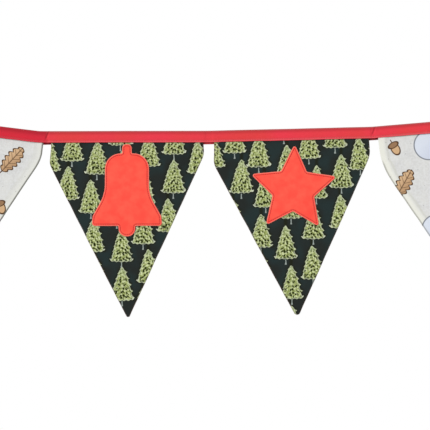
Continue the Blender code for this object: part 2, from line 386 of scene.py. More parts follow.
def weave(across, down, thread):
    """The height of a plain weave of threads this many millimetres apart, from -1 to 1."""
    over = (across * (math.pi / thread)).math("SINE")
    under = (down * (math.pi / thread)).math("SINE")
    return over * under


def finish_cotton(material, cloth_colour, height, strength):
    """Gives a cotton its colour and the height of its surface in millimetres."""
    tree = material.node_tree
    surface = tree.nodes["Principled BSDF"]
    feed(tree, surface.inputs["Base Color"], cloth_colour)
    bump = {"Strength": strength, "Distance": MM, "Height": height}
    feed(tree, surface.inputs["Normal"], add_node(tree, "ShaderNodeBump", bump))
    return material


def tape_cotton():
    material, along, across = new_cotton("red tape cotton", 0.82, 0.12, 0.25)
    depth = abs(across)
    bias = weave(along + across, along - across, 0.62)
    dye = mottle(place_on(along, across), 0.02, 1.0)
    slub = mottle(place_on(along * 0.5, across * 3.0), 0.5, 3.0)
    lower = depth.ramp(10.0, 11.6) * depth.ramp(13.4, 12.6)
    # Left of the first crease the tape turns a little away from the light
    beyond = along.ramp(CREASES[0].at / MM + 0.6, CREASES[0].at / MM - 1.6)
    red = coated(
        blend(dye.ramp(0.3, 0.7), (218, 56, 58), (226, 50, 68)),
        (slub.ramp(0.35, 0.75) * 0.25, (234, 74, 84)),
        (lower * 0.45, (222, 98, 104)),  # a painted highlight where its lower edge turns under
        (depth.ramp(6.0, 0.8) * 0.44, (112, 24, 28)),  # painted shade along the pressed fold
        (depth.ramp(2.2, 0.6) * 0.36, (155, 110, 105)),  # and greyer on its very edge
        (depth.ramp(13.0, 13.6) * 0.6, (116, 20, 28)),  # the back leaf, in shadow
        (beyond * 0.6, (197, 6, 42)),
        (beyond * depth.ramp(9.0, 1.0) * 0.3, (96, 8, 16)),
    )
    # Each crease gets a painted line of shade in its dent, and the back leaf in the gap beside it a
    # deeper painted shadow
    for crease in CREASES:
        off = along - crease.at / MM - (depth - TAPE_DEPTH / MM / 2) * crease.lean
        left = depth.ramp(crease.fade / MM * 1.1, crease.fade / MM * 0.7)
        gap = abs(along - crease.at / MM - 1.0).ramp(8.0, 5.0) * depth.ramp(13.0, 13.5)
        line = abs(off + 0.3).ramp(1.7, 0.2) * left
        red = coated(red, (line * 0.48, (132, 8, 24)), (gap * 0.45, (30, 4, 4)))
    return finish_cotton(material, red, bias * 0.06 + slub * 0.1, 0.6)


def make_tape(material):
    bm = bmesh.new()
    cloth = bm.loops.layers.uv.new("cloth")
    section = tape_section()
    stations = tape_stations()
    loops = []
    for along in stations:
        loops.append([bm.verts.new(tape_surface(along, *point)) for point in section])
    across = [share * face * leaf_depth_at(0, face) for share, face, up in section]
    count = len(section)
    for i in range(len(stations) - 1):
        for k in range(count):
            on = (k + 1) % count
            face = bm.faces.new((loops[i][k], loops[i][on], loops[i + 1][on], loops[i + 1][k]))
            corners = ((i, k), (i, on), (i + 1, on), (i + 1, k))
            for loop, (station, point) in zip(face.loops, corners):
                loop[cloth].uv = (stations[station], across[point])
    bm.faces.new(loops[0][::-1])
    bm.faces.new(loops[-1])
    bmesh.ops.recalc_face_normals(bm, faces=bm.faces)
    return piece_object("folded_tape", bm, material)


def dress(piece, slot, *nodes):
    """Joins a piece to the bunting's one body, in place of these solids if it has any."""
    if nodes:
        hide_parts(*nodes)
    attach(piece, "root")


tape = make_tape(tape_cotton())
dress(tape, "red_tape", "tape")


# The tape's stitching: one line of red thread that closes each end and runs along the lower edge,
# through the front leaf, the pennants and the back leaf, with a stitch showing on both sides.

END_SEAM = 4.0 * MM  # from the tape's end to the row of stitches across it
STITCH_PROUD = 0.12 * MM  # of the tape's face
THREAD_TURN = 0.45 * MM
STITCH_SIZES = ("Stitch length", "Gap", "Thread width", "Rise")
TAPE_STITCH = dict(zip(STITCH_SIZES, mm(2.3, 0.5, 0.42, 0.2)))


def new_nodes(name, source, sizes):
    """A Geometry Nodes tree with a source, sizes and a thread as its inputs."""
    tree = bpy.data.node_groups.new(name, "GeometryNodeTree")
    kinds = {source: "Geometry", **dict.fromkeys(sizes, "Float"), "Thread": "Material"}
    for socket, kind in kinds.items():
        tree.interface.new_socket(socket, in_out="INPUT", socket_type="NodeSocket" + kind)
    tree.interface.new_socket("Threads", in_out="OUTPUT", socket_type="NodeSocketGeometry")
    given = add_node(tree, "NodeGroupInput")
    return tree, {socket: Signal(tree, given.outputs[socket]) for socket in kinds}


def thread_piece(tree, start, end, offset, width, taper, bends, sides):
    """A short piece of thread along X, bent by offset and thinned by taper, both from 0 to 1."""
    ends = {"Start": place_on(start, 0.0), "End": place_on(end, 0.0)}
    line = add_node(tree, "GeometryNodeCurvePrimitiveLine", ends)
    line = add_node(tree, "GeometryNodeResampleCurve", {"Curve": line, "Count": bends})
    rise = add_node(tree, "ShaderNodeCombineXYZ", {"Z": offset})
    line = add_node(tree, "GeometryNodeSetPosition", {"Geometry": line, "Offset": rise})
    around = {"Resolution": sides, "Radius": width * 0.5}
    around = add_node(tree, "GeometryNodeCurvePrimitiveCircle", around)
    skin = {"Curve": line, "Profile Curve": around, "Scale": taper, "Fill Caps": True}
    return add_node(tree, "GeometryNodeCurveToMesh", skin)


def outward_of(tree):
    """The way outwards that each point of a guide carries."""
    name = {"Name": "outward"}
    return add_node(tree, "GeometryNodeInputNamedAttribute", name, data_type="FLOAT_VECTOR")


def lay_along(tree, guide, pitch, piece, turn, uneven, thread):
    """Ends a tree: a piece at every pitch along the guide, turned and scaled, all as one mesh."""
    lines = add_node(tree, "GeometryNodeMeshToCurve", {"Mesh": guide})
    spaced = {"Curve": lines, "Length": pitch}
    places = add_node(tree, "GeometryNodeResampleCurve", spaced, mode="LENGTH")
    scale = add_node(tree, "FunctionNodeRandomValue", uneven)
    placed = {"Points": places, "Instance": piece, "Rotation": turn, "Scale": scale}
    row = add_node(tree, "GeometryNodeInstanceOnPoints", placed)
    row = add_node(tree, "GeometryNodeRealizeInstances", {"Geometry": row})
    row = add_node(tree, "GeometryNodeSetMaterial", {"Geometry": row, "Material": thread})
    add_node(tree, "NodeGroupOutput", {"Threads": row})
    return tree


def stitch_nodes():
    """Lays stitches end to end along lines of sewing, each dipping into the cloth at its ends."""
    tree, given = new_nodes("row of stitches", "Sewing lines", STITCH_SIZES)
    pitch = given["Stitch length"] + given["Gap"]
    half = given["Stitch length"] * 0.5
    on = new_signal(tree, "GeometryNodeSplineParameter", "Factor") * 2.0 - 1.0
    fall = on * on * on * on
    arch = (1.0 - fall) * given["Rise"] - given["Rise"] * 0.5
    taper = (1.0 - fall * 0.8).math("SQRT")
    stitch = thread_piece(tree, -half, half, arch, given["Thread width"], taper, 6, 6)
    run = {"Vector": add_node(tree, "GeometryNodeInputTangent")}
    run = add_node(tree, "FunctionNodeAlignRotationToVector", run, axis="X")
    turn = {"Rotation": run, "Vector": outward_of(tree)}
    turn = add_node(tree, "FunctionNodeAlignRotationToVector", turn, axis="Z", pivot_axis="X")
    uneven = {2: 0.9, 3: 1.06, "Seed": 11}
    return lay_along(tree, given["Sewing lines"], pitch, stitch, turn, uneven, given["Thread"])


def guide_mesh(lines):
    """Lines of (point, outward) pairs as a mesh of edges; each line is also closed or open."""
    bm = bmesh.new()
    outward = bm.verts.layers.float_vector.new("outward")
    for line, closed in lines:
        verts = []
        for point, way in line:
            verts.append(bm.verts.new(point))
            verts[-1][outward] = way
        for one, other in zip(verts, verts[1:] + verts[:1] if closed else verts[1:]):
            bm.edges.new((one, other))
    mesh = bpy.data.meshes.new("sewing guide")
    bm.to_mesh(mesh)
    bm.free()
    return mesh


def made_along(name, lines, tree, sizes, thread):
    """The plain mesh object that a node tree makes along these lines."""
    guide = put_in_scene(name + "_guide", guide_mesh(lines))
    modifier = guide.modifiers.new("thread", "NODES")
    modifier.node_group = tree
    for socket in tree.interface.items_tree:
        if socket.name in sizes:
            modifier[socket.identifier] = sizes[socket.name]
        elif socket.name == "Thread":
            modifier[socket.identifier] = thread
    evaluated = guide.evaluated_get(bpy.context.evaluated_depsgraph_get())
    mesh = bpy.data.meshes.new_from_object(evaluated)
    guide.modifiers.remove(modifier)
    bpy.data.objects.remove(guide)
    mesh.shade_smooth()
    return put_in_scene(name, mesh)


def sewing_thread(name, light, dark):
    """A twisted cotton thread, a little darker between its turns as painted shade."""
    material, tree = new_material(name, {"Roughness": 0.6, "Sheen Weight": 0.2})
    place = add_node(tree, "ShaderNodeTexCoord").outputs["Object"]
    parts = add_node(tree, "ShaderNodeSeparateXYZ", {"Vector": place})
    x, y, z = (Signal(tree, parts.outputs[axis]) for axis in "XYZ")
    turns = ((x + y + z) * (2 * math.pi / THREAD_TURN)).math("SINE").ramp(-0.6, 0.6)
    return finish_cotton(material, blend(turns, dark, light), turns * 0.05, 0.6)


def seam_line(face):
    """Where the machine sewed: down across one end, along the lower edge and up the other end."""
    seam_depth, top = TAPE_DEPTH - SEAM_UP, 1.6 * MM
    across = [(END_SEAM, top + (seam_depth - top) * i / 12) for i in range(12)]
    count = round((TAPE_LENGTH - 2 * END_SEAM) / TAPE_STEP)
    lower = [END_SEAM + (TAPE_LENGTH - 2 * END_SEAM) * i / count for i in range(count + 1)]
    route = across + [(along, seam_depth) for along in lower]
    route += [(TAPE_LENGTH - along, depth) for along, depth in reversed(across)]
    out = Vector((0, -face, 0))
    line = []
    for along, depth in route:
        point = tape_surface(along, depth / leaf_depth_at(along, face), face, 1.0)
        line.append((point + out * STITCH_PROUD, out))
    return line


STITCHES = stitch_nodes()
tape_stitching = made_along(
    "tape_stitching",
    [(seam_line(1), False), (seam_line(-1), False)],
    STITCHES,
    TAPE_STITCH,
    sewing_thread("red tape thread", (222, 66, 76), (168, 30, 42)),
)
dress(tape_stitching, "red_tape")


# The pennants: each is two layers of light cotton sewn together along its sides and slants, turned
# right side out and pressed, so its seam allowance lies inside as a thicker band along the edge.

TUCK = 9.0 * MM  # how far a pennant's top reaches up into the tape
HANG_EASE = 70.0 * MM  # depth below the tape over which the cloth takes up its bow
ALLOWANCE = 9.0 * MM  # of seam inside the turned edge
ALLOWANCE_HALF, MIDDLE_HALF = mm(0.62, 0.42)  # half the cloth's thickness there
TURN_RADIUS = 0.55 * MM
ROW_STEP, COLUMN_STEP = mm(1.7, 1.9)
BACK_PRINT = 310 * MM  # how far along the cloth the back layer was cut
RIM = mm(0, 0.06, 0.2, 0.4, 0.7, 1.2, 2.2, 3.8, 5.6, 7.2, 8.4, 9.4, 10.4, 12)

Point = namedtuple("Point", "side depth")
Shoulder = namedtuple("Shoulder", "top side depth ease")  # where a side turns to its slant
# The middle bows forward, the tip swings forward and the right edge rolls forward, by so much
Pennant = namedtuple("Pennant", "left right tip tip_radius bow swing roll")
PENNANTS = {
    "pennant_white_left": Pennant(
        Shoulder(*mm(-88.0, -87.2, 21.0, 3.0)),
        Shoulder(*mm(87.8, 87.6, 19.6, 4.8)),
        Point(*mm(0.4, 192.8)),
        *mm(2.4, 3.0, -5.0, 1.6),
    ),
    "pennant_print_left": Pennant(
        Shoulder(*mm(-86.1, -88.5, 24.5, 3.0)),
        Shoulder(*mm(87.2, 87.9, 14.4, 3.0)),
        Point(*mm(1.1, 201.6)),
        *mm(2.4, 3.6, 2.0, -1.2),
    ),
    "pennant_print_right": Pennant(
        Shoulder(*mm(-88.4, -89.6, 25.2, 3.0)),
        Shoulder(*mm(88.4, 88.8, 19.8, 3.0)),
        Point(*mm(1.4, 203.9)),
        *mm(3.8, 2.6, -3.5, 1.0),
    ),
    "pennant_white_right": Pennant(
        Shoulder(*mm(-90.0, -90.0, 31.2, 12.0)),
        Shoulder(*mm(90.0, 88.0, 28.0, 3.0)),
        Point(*mm(-1.5, 189.0)),
        *mm(2.4, 3.2, 4.0, -2.0),
    ),
}


def soft_min(a, b, ease):
    """The smaller of two sizes, rounded off where they are less than ease apart."""
    near = max(ease - abs(a - b), 0) / ease
    return min(a, b) - near * near * ease / 4


def edge_out(name, way, depth):
    """How far the left (way -1) or right (way 1) edge lies out from the middle line."""
    pennant = PENNANTS[name]
    corner, tip = (pennant.left if way < 0 else pennant.right), pennant.tip
    top_out, corner_out, tip_out = way * corner.top, way * corner.side, way * tip.side
    side = top_out + (corner_out - top_out) * depth / corner.depth
    to_tip = (tip.depth - depth) / (tip.depth - corner.depth)
    out = soft_min(side, tip_out + (corner_out - tip_out) * to_tip, corner.ease)
    return out + 0.3 * MM * ripple(16 * MM, way * 3 + LENGTHS[name], depth)


def tip_centre_depth(pennant):
    """Where the circle that rounds the tip has its centre."""
    spread = (pennant.right.side - pennant.left.side) / 2
    run = pennant.tip.depth - (pennant.left.depth + pennant.right.depth) / 2
    return pennant.tip.depth - pennant.tip_radius / math.sin(math.atan2(spread, run))


def edges_at(name, depth):
    """The left and right edge at this depth."""
    pennant = PENNANTS[name]
    left, right = -edge_out(name, -1, max(depth, 0)), edge_out(name, 1, max(depth, 0))
    below = depth - tip_centre_depth(pennant)
    if below > 0:
        reach = math.sqrt(max(pennant.tip_radius**2 - below**2, 0))
        left = max(left, pennant.tip.side - reach)
        right = min(right, pennant.tip.side + reach)
    return left, max(left, right)


def from_edge(name, side, depth):
    """How far a point of the pennant is from its turned edge."""
    pennant = PENNANTS[name]
    left, right = edges_at(name, depth)
    lean = math.cos(math.atan2(LENGTHS[name] / 2, pennant.tip.depth))
    if depth < min(pennant.left.depth, pennant.right.depth):
        lean = 1
    bottom = tip_centre_depth(pennant) + pennant.tip_radius - depth
    return max(min((side - left) * lean, (right - side) * lean, bottom, depth + TUCK), 0)


def cloth_forward(name, side, depth):
    """How far the middle of the hanging cloth stands forward of the tape's plane."""
    pennant, width = PENNANTS[name], LENGTHS[name]
    hang = smooth(0, HANG_EASE, depth)
    across = side / (width / 2)
    bow = pennant.bow * (1 - across * across)
    swing = pennant.swing * (max(depth, 0) / pennant.tip.depth) ** 2
    seed = STARTS[name] * 10
    loose = smooth(0, 40 * MM, depth)
    wave = 1.1 * MM * ripple(55 * MM, seed, side, depth) * loose
    wave += 0.35 * MM * ripple(17 * MM, seed + 3, side, depth * 0.6) * (0.3 + 0.7 * loose)
    pull = math.exp(-from_edge(name, side, depth) / (7 * MM)) * loose
    wave += 0.4 * MM * pull * ripple(9 * MM, seed + 6, side, depth)
    return hang * (bow + pennant.roll * across) + swing + wave


def half_thickness(name, side, depth):
    """Half the pennant's thickness: round at the turned edge, then the allowance, then less."""
    inside = from_edge(name, side, depth)
    allowance = ALLOWANCE + 0.8 * MM * ripple(22 * MM, 3, side, depth)
    step = smooth(allowance - 0.8 * MM, allowance + 0.9 * MM, inside)
    half = ALLOWANCE_HALF + (MIDDLE_HALF - ALLOWANCE_HALF) * step
    turn = min(inside / TURN_RADIUS, 1)
    return half * math.sqrt(1 - (1 - turn) ** 2)


def in_place(name, side, forward, depth):
    """Places a point of a pennant, given as it hangs, in the middle of its stretch of tape."""
    along = STARTS[name] + LENGTHS[name] / 2
    hung = Vector((side, -forward, -TAPE_DEPTH - depth))
    return on_line(along) + Matrix.Rotation(-slope_at(along), 3, "Y") @ hung


def row_depths(name):
    pennant = PENNANTS[name]
    bottom = tip_centre_depth(pennant) + pennant.tip_radius
    tip = mm(4.0, 3.0, 2.2, 1.5, 0.95, 0.55, 0.25, 0.08, 0.0)
    top = [x * MM - TUCK for x in (0, 0.1, 0.3, 0.6)]
    low, high = top[-1], bottom - tip[0]
    count = round((high - low) / ROW_STEP)
    between = [low + (high - low) * i / count for i in range(count)]
    return [*top[:-1], *between, *(bottom - up for up in tip)]


def column_sides(name, depth):
    """Places across one row, close together at its two edges."""
    left, right = edges_at(name, depth)
    middle, half = (left + right) / 2, (right - left) / 2
    squeeze = min(1, half / (1.5 * RIM[-1]))
    rim = [half - x * squeeze for x in RIM]
    count = round((LENGTHS[name] / 2 - RIM[-1]) / COLUMN_STEP)
    outs = rim + [rim[-1] * (1 - i / count) for i in range(1, count + 1)]
    return [middle - out for out in outs] + [middle + out for out in reversed(outs[:-1])]


def make_pennant(name, material):
    """Front and back layers on one set of rows and columns, joined all round the edge."""
    bm = bmesh.new()
    cloth = bm.loops.layers.uv.new("cloth")
    inside = bm.verts.layers.float.new("from_edge")
    layers = {1: [], -1: []}
    for depth in row_depths(name):
        sides = column_sides(name, depth)
        rows = {1: [], -1: []}
        for side in sides:
            forward = cloth_forward(name, side, depth)
            half = half_thickness(name, side, depth)
            for face in (1, -1):
                vert = bm.verts.new(in_place(name, side, forward + face * half, depth))
                vert[inside] = from_edge(name, side, depth)
                rows[face].append((vert, (side, depth)))
        for face in (1, -1):
            layers[face].append(rows[face])
    for face, rows in layers.items():
        for upper, lower in zip(rows, rows[1:]):
            for i in range(len(upper) - 1):
                corners = [upper[i], lower[i], lower[i + 1], upper[i + 1]][::face]
                made = bm.faces.new([vert for vert, _ in corners])
                for loop, (_, (side, depth)) in zip(made.loops, corners):
                    loop[cloth].uv = (side if face > 0 else BACK_PRINT - side, depth)
    bmesh.ops.remove_doubles(bm, verts=bm.verts, dist=1e-6)
    bmesh.ops.dissolve_degenerate(bm, edges=bm.edges, dist=1e-7)
    return piece_object(name + "_cloth", bm, material)


def sewn_pennant(name, material, slot):
    pennant = make_pennant(name, material)
    dress(pennant, slot, name)


# The fir print: pale green firs in columns on a bottle-green ground, each column at its own height.
# A column's firs stand one above another, and every size here is in millimetres of cloth.

FIR_COLUMN = 27.4  # from one column's place to the next
FIR_TALL, FIR_HALF = 38.8, 12.4  # of a fir's foliage, and half its width at the foot
SHIFT = 8.0  # the most that a column stands aside from its place
SWAY, SWAY_LENGTH = 4.0, 20.0  # of the columns, and the length of one radian of it

# Columns stand aside by their shifts, by their drifts too below drift_from, and by a sway that is
# widest at sway_from
FirPrint = namedtuple("FirPrint", "first pitch feet shifts drifts drift_from sway_from")
FIR_PRINTS = {
    "pennant_print_left": FirPrint(
        first=-90.0,
        pitch=44.1,
        feet=(33.4, 21.7, 36.9, 4, 28, 14.3, 36.3, 8),
        shifts=(-2.5, -3.5, -3.0, 0.0, 0.8, 4.2, 3.0, 0.0),
        drifts=(0.0, -2.0, 0.0, 0.0, 0.0, 0.0, 6.0, 0.0),
        drift_from=40.0,
        sway_from=34.0,
    ),
    "pennant_print_right": FirPrint(
        first=-87.0,
        pitch=45.8,
        feet=(29.5, 13.6, 30.4, 44.0, 22, 10.4, 36, 15),
        shifts=(0.5, -2.0, -3.5, -1.5, 0.0, 3.0, 1.6, 0.0),
        drifts=(-5.0, -8.0, 0.0, 0.0, 0.0, 0.0, 0.0, 0.0),
        drift_from=68.0,
        sway_from=77.0,
    ),
}


def scatter(place, seed):
    """A random number from 0 to 1 for each whole-number place."""
    kind = "ShaderNodeTexWhiteNoise"
    inputs = {"Vector": place, "W": seed}
    return new_signal(place.tree, kind, "Value", inputs, noise_dimensions="4D")


def listed(number, *lists):
    """Three shares from 0 to 1 for each whole number, from three short lists that repeat."""
    tree, count = number.tree, len(lists[0])
    place = (number.math("FLOORED_MODULO", count) + 0.5) / count
    node = add_node(tree, "ShaderNodeValToRGB", {"Fac": place})
    node.color_ramp.interpolation = "CONSTANT"
    stops = node.color_ramp.elements
    stops[1].position = 1 / count
    for i in range(2, count):
        stops.new(i / count)
    for stop, *shares in zip(stops, *lists):
        stop.color = (*shares, 1)
    parts = add_node(tree, "ShaderNodeSeparateColor", {"Color": node})
    return [Signal(tree, parts.outputs[part]) for part in ("Red", "Green", "Blue")]


def dabs(across, down, wide, high):
    """How far a place is from the nearest of many scattered dabs of this spacing, in spacings."""
    kind = "ShaderNodeTexVoronoi"
    inputs = {"Vector": place_on(across / wide, down / high), "Scale": 1.0, "Randomness": 0.8}
    return new_signal(across.tree, kind, "Distance", inputs, voronoi_dimensions="2D")


def fir_places(across, down, printed, odd):
    """Every second column of firs: (which fir, across from its middle, across from the trunk of
    the one above, below the foot of the one above, above its own foot)."""
    column = (across - printed.first) / (2 * FIR_COLUMN) + (0.5 - odd / 2)
    number = column.math("FLOOR")
    feet = [(foot / printed.pitch) % 1 for foot in printed.feet[odd::2]]
    sideways = (printed.shifts[odd::2], printed.drifts[odd::2])
    foot, *sideways = listed(number, feet, *([0.5 + x / SHIFT / 2 for x in row] for row in sideways))
    shift, drift = ((share - 0.5) * (2 * SHIFT) for share in sideways)
    rows = down / printed.pitch - foot
    below = rows.math("FRACT") * printed.pitch
    fir = place_on(number * 2.0 + float(odd), rows.math("FLOOR"))
    middle = (column - number - 0.5) * (2 * FIR_COLUMN) - shift
    foot_depth = (rows.math("FLOOR") + foot + 1.0) * printed.pitch
    outs = []
    for depth in (foot_depth, foot_depth - printed.pitch):
        drifted = depth.ramp(printed.drift_from - 1.0, printed.drift_from + 1.0)
        swayed = ((depth - printed.sway_from) / SWAY_LENGTH).math("COSINE") * SWAY
        outs.append(middle - (swayed + drifted * drift))
    return fir, *outs, below, printed.pitch - below


def fir_outline(fir, out, rise, wobble):
    """How far inside a fir's outline a place is."""
    away = abs(out)
    right = out.ramp(-0.5, 0.5)
    size = (scatter(fir, 17.0) * 0.1 + 0.95) * FIR_HALF
    reach = (1.0 - rise / FIR_TALL).math("MAXIMUM", 0.0) ** 0.68 * size
    # Twigs stick out at each tier, longer on the right, and the lowest ones curl up
    climb = (away - reach).math("MAXIMUM", -1.0) * 0.7
    tier = ((rise - climb + wobble * 2.5) / (right * 1.6 + 5.6) + scatter(fir, 5.0)).math("FRACT")
    twig = (1.0 - tier) ** 2.6 * (right * 1.5 + 1.1)
    corner = abs(rise - 2.4 - climb).ramp(1.3, 0.0) * 2.3
    reach = reach + twig.math("MAXIMUM", corner) * rise.ramp(FIR_TALL, FIR_TALL - 5)
    bottom = (away * 1.25 + scatter(fir, 7.0) * 6.0).math("SINE") * 0.45
    bottom = rise - 0.7 - bottom - (away / FIR_HALF) ** 4.0 * 1.3
    return (reach - away).math("MINIMUM", bottom)


def fir_green(place, down, out, rise, inside):
    """Strokes of paint that droop outwards, with dark gaps between them and paler tips."""
    away = abs(out)
    rough = mottle(place, 0.55, 3.0) - 0.5
    u = out + rough * 2.0
    v = down - away * 0.4 + rough * 2.0
    # Gaps are wider in the lower middle than at the top and the sides
    heavy = mottle(place, 0.17, 1.0) - rise * 0.008 - away * 0.012
    gap = (dabs(u, v, 3.4, 3.5) - heavy.ramp(0.2, 0.44) * 0.24).ramp(0.3, 0.0)
    # A darker line of gaps runs above the lowest fringe
    fringe = abs(rise - 4.4 + rough * 3.0).ramp(1.1, 0.3) * rough.ramp(0.05, -0.1) * 0.8
    stroke = dabs(u + 1.7, v + 1.8, 3.5, 3.6).ramp(0.42, 0.12)
    speck = dabs(u + 31.0, v + 17.0, 3.0, 1.9).ramp(0.4, 0.16)
    tips = away.ramp(10.5, 13.0) * rise.ramp(6.0, 4.0)
    return coated(
        blend(rough.ramp(-0.14, 0.14), (112, 125, 62), (168, 178, 112)),
        (speck * 0.45, (202, 210, 166)),
        (stroke * 0.75, (214, 222, 176)),
        (rise.ramp(22, FIR_TALL) * 0.35, (160, 174, 142)),
        (gap.math("MAXIMUM", fringe), (30, 37, 0)),
        (inside.ramp(2.2, 0.6) * 0.3, (164, 176, 142)),
        (inside.ramp(0.9, 0.1) * 0.6, (214, 220, 196)),
        (tips * 0.6, (218, 224, 204)),
    )


def firs(across, down, printed, odd):
    """Every second column of firs: (nearness, foliage, its colour, trunk), each share 0 to 1."""
    fir, middle, trunk_out, below, rise = fir_places(across, down, printed, odd)
    place = place_on(across, down)
    wobble = mottle(place, 0.3) - 0.5
    out = middle - (scatter(fir, 11.0) - 0.5) * rise * 0.07 + wobble * 1.6
    inside = fir_outline(fir, out, rise, wobble)
    foliage = inside.ramp(-0.35, 0.35) * rise.ramp(FIR_TALL + 0.1, FIR_TALL - 0.5)
    green = fir_green(place, down, out, rise, inside)
    trunk_half = below.ramp(3.0, 6.0) * 0.5 + 0.5
    trunk = (trunk_half - abs(trunk_out + wobble)).ramp(-0.25, 0.25) * below.ramp(6.2, 5.6)
    return inside.ramp(-3.6, -0.4), foliage, green, trunk


def in_from_edge(tree):
    """How far a place lies in from the turned or cut edge, in millimetres."""
    edge = new_signal(tree, "ShaderNodeAttribute", "Fac", attribute_name="from_edge")
    return edge * 1000.0


def fir_cotton(pennant):
    """The printed cotton of one pennant, whose columns of firs stand at their own heights."""
    material, across, down = new_cotton("fir print of " + pennant, 0.86, 0.0, 0.08)
    ground = mottle(place_on(across, down), 0.03)
    cloth = blend(ground.ramp(0.38, 0.62), (36, 40, 38), (36, 48, 48))
    layers = [firs(across, down, FIR_PRINTS[pennant], odd) for odd in (0, 1)]
    for near, _, _, trunk in layers:
        cloth = coated(cloth, (near * 0.85, (30, 32, 18)), (trunk * 0.9, (156, 166, 160)))
    # Browner along the very edge of the cloth
    brown_edge = in_from_edge(material.node_tree).ramp(1.5, 0.2)
    firs_over = ((foliage, green) for _, foliage, green, _ in layers)
    cloth = coated(cloth, *firs_over, (brown_edge * 0.35, (112, 84, 70)))
    height = weave(across, down, 0.5) * 0.05 + ground * 0.06
    return finish_cotton(material, cloth, height, 0.5)


for pennant_name in FIR_PRINTS:
    sewn_pennant(pennant_name, fir_cotton(pennant_name), "tree_print_cotton")


# The off-white print: oak leaves, acorns and pale round balls, outlined in brown and grey and
# scattered over light cotton. The seam allowance shows through it as a creamier band.

MOTIF_WIDE, MOTIF_HIGH = 84.0, 96.0  # mm from one group of motifs to the next
BAND = 7.0  # mm of cream along the turned edge
LOBE_TURN = 0.5  # radians of lobe to a millimetre of the leaf
BALL_RADIUS = 16.5
BROWN = (84, 58, 36)

# Each print is moved left and up, has its share of cream along the turned edge, and its share of
# shadow on the very edge below shadow_from
WhitePrint = namedtuple("WhitePrint", "left up cream shadow shadow_from")
WHITE_PRINTS = {
    "pennant_white_left": WhitePrint(51.0, 90.3, cream=0.5, shadow=0.85, shadow_from=-20.0),
    "pennant_white_right": WhitePrint(87.6, 10.7, cream=0.9, shadow=0.5, shadow_from=28.0),
}


def turned(across, down, angle):
    """Coordinates turned by this many degrees."""
    cos, sin = math.cos(math.radians(angle)), math.sin(math.radians(angle))
    return across * cos + down * sin, down * cos - across * sin


def print_shape(cloth, edge, fill, line, line_width):
    """Prints a filled shape with an outline: edge is negative inside it, in millimetres."""
    cloth = blend(edge.ramp(0.25, -0.25), cloth, fill)
    half = line_width / 2
    return blend((abs(edge) - half).ramp(0.25, -0.25), cloth, line)


def ball_print(cloth, x, y):
    """A pale round ball with a soft bright side."""
    reach = (x * x + y * y).math("SQRT")
    pale = blend((x + y).ramp(-14.0, 16.0), (210, 216, 227), (199, 205, 219))
    return print_shape(cloth, reach - BALL_RADIUS, pale, (126, 130, 138), 1.4)


def oak_leaf_print(cloth, x, y):
    """A tan oak leaf with rounded lobes, ribs and a stalk."""
    u, v = turned(x, y, 35)
    stalk = (abs(u + (v - 17.0) * 0.12) - 0.7).math("MAXIMUM", abs(v - 20.0) - 4.0)
    cloth = blend(stalk.ramp(0.2, -0.2), cloth, BROWN)
    along = (v / 17.5).math("MINIMUM", 1.0).math("MAXIMUM", -1.0)
    body = (1.0 - along * along) ** 0.55
    lobes = abs((v * LOBE_TURN + 0.4).math("SINE")) * 3.4
    blade = (abs(u) - body * (lobes + 5.4)).math("MAXIMUM", abs(v) - 17.2)
    tan = blend((u + v * 0.3).ramp(-9.0, 9.0), (206, 172, 134), (176, 140, 104))
    cloth = print_shape(cloth, blade, tan, BROWN, 1.7)
    rib = abs(((v + abs(u) * 0.9) * LOBE_TURN / math.pi + 0.5).math("FRACT") - 0.5)
    rib = rib.ramp(0.1, 0.04)
    ribs = rib.math("MAXIMUM", abs(u).ramp(0.8, 0.4)) * blade.ramp(-0.9, -2.2)
    return blend(ribs * 0.8, cloth, BROWN)


def acorn_print(cloth, x, y):
    """A nut in its cup."""
    u, v = turned(x, y, -25)
    nut = (u * u / 22.0 + v * v / 50.0).math("SQRT") * 5.6 - 5.6
    cloth = print_shape(cloth, nut, (204, 168, 128), BROWN, 1.5)
    cup = ((u * u / 36.0 + (v + 5.0) * (v + 5.0) / 10.0).math("SQRT") - 1.0) * 4.2
    cloth = print_shape(cloth, cup, (148, 114, 84), BROWN, 1.4)
    stalk = (abs(u) - 0.55).math("MAXIMUM", abs(v + 10.0) - 2.0)
    return blend(stalk.ramp(0.2, -0.2), cloth, BROWN)


def off_white_cotton(pennant, printed):
    material, across, down = new_cotton("white print of " + pennant, 0.88, 0.1, 0.2)
    place = place_on(across, down)
    cloud = mottle(place, 0.07, 3.0)
    grain = mottle(place, 0.4)
    inside = in_from_edge(material.node_tree)
    wavy = inside + (cloud - 0.5) * 3.0
    allowance_end = abs(wavy - BAND - 1.8).ramp(2.4, 0.2) * (0.6 * printed.cream)
    specks = dabs(across + 7.0, down, 21.0, 17.0).ramp(0.035, 0.02)
    cloth = coated(
        blend(cloud.ramp(0.3, 0.7), (202, 202, 201), (212, 212, 209)),
        (grain.ramp(0.42, 0.62) * 0.5, (218, 219, 219)),
        (allowance_end, (198, 198, 187)),
        (wavy.ramp(BAND + 2.0, BAND - 3.0) * printed.cream, (226, 226, 216)),
        (specks * 0.5, (120, 122, 124)),
    )
    # The motifs repeat in a half-drop, each placed from its group's middle
    column = (across + printed.left) / MOTIF_WIDE
    drop = (column.math("FLOOR") * 0.5).math("FRACT")
    x = (column.math("FRACT") - 0.5) * MOTIF_WIDE
    y = (((down + printed.up) / MOTIF_HIGH + drop).math("FRACT") - 0.5) * MOTIF_HIGH
    cloth = ball_print(cloth, x - 12.0, y + 24.0)
    cloth = oak_leaf_print(cloth, x + 20.0, y - 17.0)
    cloth = acorn_print(cloth, x + 26.0, y + 23.0)
    # A painted shadow greys the very edge below shadow_from
    rim = inside.ramp(2.2, 1.0) * down.ramp(printed.shadow_from - 5.0, printed.shadow_from + 5.0)
    cloth = blend(rim * printed.shadow, cloth, (100, 100, 90))
    height = weave(across, down, 0.5) * 0.05 + cloud * 0.1
    return finish_cotton(material, cloth, height, 0.5)


